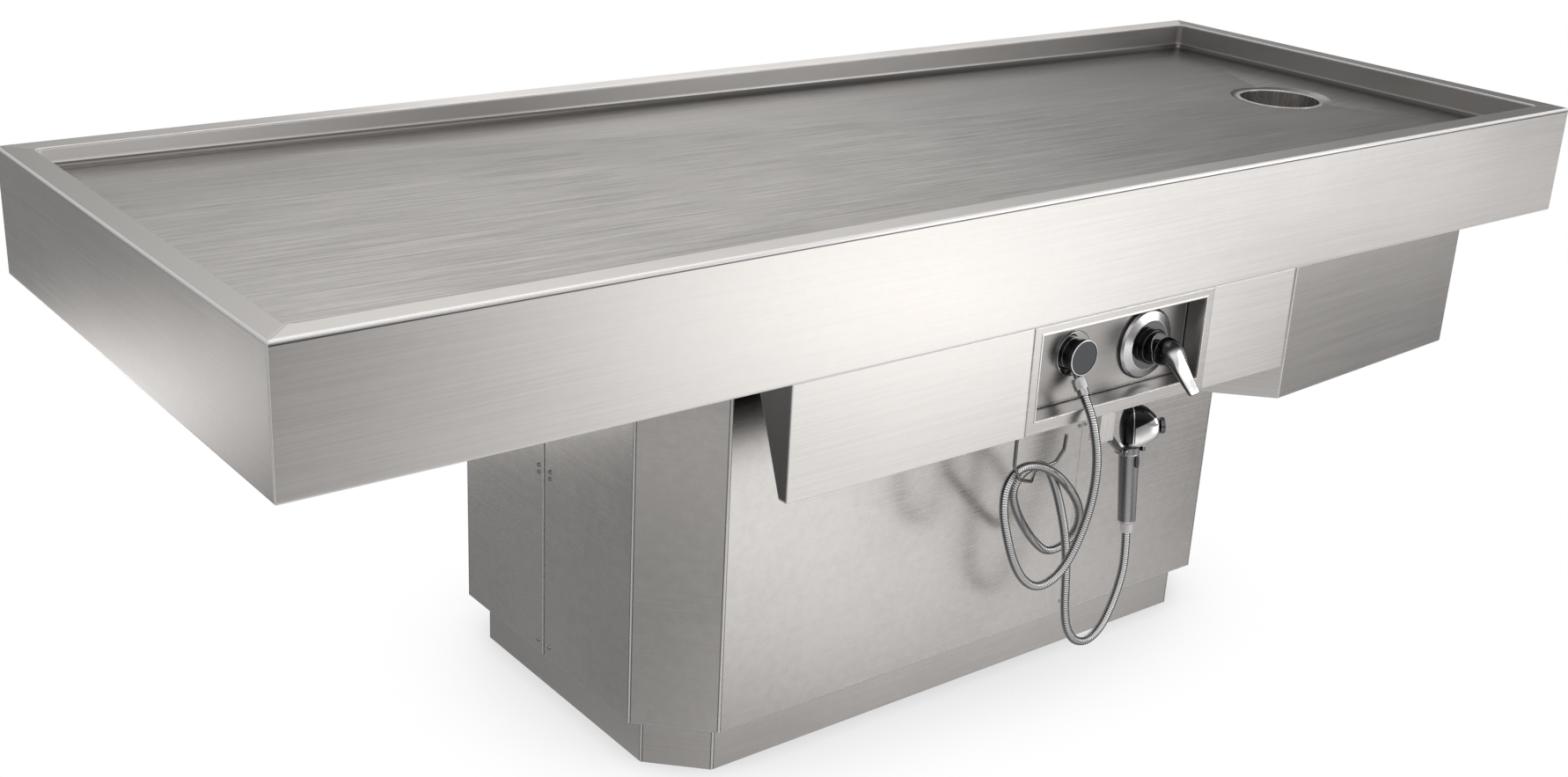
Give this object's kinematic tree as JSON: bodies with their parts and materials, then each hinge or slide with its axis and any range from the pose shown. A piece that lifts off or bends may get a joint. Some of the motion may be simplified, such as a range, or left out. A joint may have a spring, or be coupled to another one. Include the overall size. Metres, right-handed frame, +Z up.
{
  "type": "autopsy table",
  "caption": "Fixed-height stainless autopsy table with a sunk drained tray, pedestal, mixer niche, drain housing and a hand shower on a chrome hose.",
  "frame": {"origin": "Middle of the table's length and width, on the floor.", "axes": "+X from the head end to the drain end, -Y towards the service side, +Z up."},
  "size_m": [2.6, 1.0506, 0.905],
  "materials": {
    "tray_steel": "brushed along the table",
    "fascia_steel": "fine horizontal brush",
    "housing_steel": "fine brush",
    "pedestal_steel": "fine brush",
    "frame_steel": "mill finish",
    "fittings": "polished",
    "fasteners": "bright",
    "handle_grey": "satin",
    "collar_white": "satin",
    "knob_dark": "gloss",
    "drain_plastic": "moulded",
    "valve_brass": "cast",
    "pipe_metal": "drawn",
    "cartridge_white": "moulded"
  },
  "bodies": {
    "table": {"deck_pan": "tray_steel", "drain_pot": "tray_steel", "waste_grid": "tray_steel", "rim_front": "fascia_steel", "rim_back": "fascia_steel", "rim_head": "fascia_steel", "rim_foot": "fascia_steel", "drain_housing": "housing_steel", "drain_housing_floor": "housing_steel", "apron_panel_left": "housing_steel", "apron_panel_right": "housing_steel", "apron_end_plate": "housing_steel", "apron_back_left": "housing_steel", "apron_back_right": "housing_steel", "niche_frame": "housing_steel", "niche_tray": "housing_steel", "niche_back": "housing_steel", "service_cover": "housing_steel", "holder_bracket": "housing_steel", "hose_hook": "housing_steel", "pedestal_cover_back": "pedestal_steel", "pedestal_cover_front": "pedestal_steel", "pedestal_cover_access": "pedestal_steel", "seam_strips": "pedestal_steel", "plinth_front": "pedestal_steel", "plinth_back": "pedestal_steel", "tray_bearers": "frame_steel", "frame_rail_front": "frame_steel", "frame_rail_back": "frame_steel", "housing_hangers": "frame_steel", "base_plate": "frame_steel", "pedestal_posts": "frame_steel", "top_plate": "frame_steel", "outlet_body": "fittings", "hose_nut": "fittings", "mixer_plate": "fittings", "mixer_sleeve": "fittings", "holder_fork": "fittings", "shower_hose": "fittings", "cover_screws": "fasteners", "niche_screws": "fasteners", "waste_union": "drain_plastic", "waste_trap": "drain_plastic", "waste_pipe": "drain_plastic", "mixer_body": "valve_brass", "hot_pipe": "pipe_metal", "cold_pipe": "pipe_metal", "mixed_pipe": "pipe_metal", "mixer_cartridge": "cartridge_white"},
    "hub": {"mixer_hub": "fittings", "lever_pin": "fasteners"},
    "lever": {"mixer_lever": "fittings"},
    "knob": {"outlet_knob": "knob_dark"},
    "hand_shower": {"shower_handle": "handle_grey", "shower_head": "fittings", "spray_face": "fittings", "shower_collar": "collar_white"},
    "button": {"shower_button": "handle_grey"}
  },
  "joints": [
    {"name": "mixer_turn", "type": "hinge", "parent": "table", "child": "hub", "pos_m": [0.208, -0.496, 0.617], "axis": [0, -1, 0], "range_deg": [-45, 45]},
    {"name": "mixer_lift", "type": "hinge", "parent": "hub", "child": "lever", "pos_m": [0.208, -0.496, 0.617], "axis": [-1, 0, 0], "range_deg": [0, 25]},
    {"name": "outlet_turn", "type": "hinge", "parent": "table", "child": "knob", "pos_m": [0.0405, -0.466, 0.63], "axis": [0, -1, 0], "range_deg": [0, 90]},
    {"name": "shower_pull", "type": "slide", "parent": "table", "child": "hand_shower", "axis": [0, -0.9944, 0.1054], "range_m": [0, 0.06]},
    {"name": "button_press", "type": "slide", "parent": "hand_shower", "child": "button", "axis": [0, 0.9944, -0.1054], "range_m": [0, 0.002], "stiffness_N_per_m": 300, "springref_m": -0.001}
  ]
}
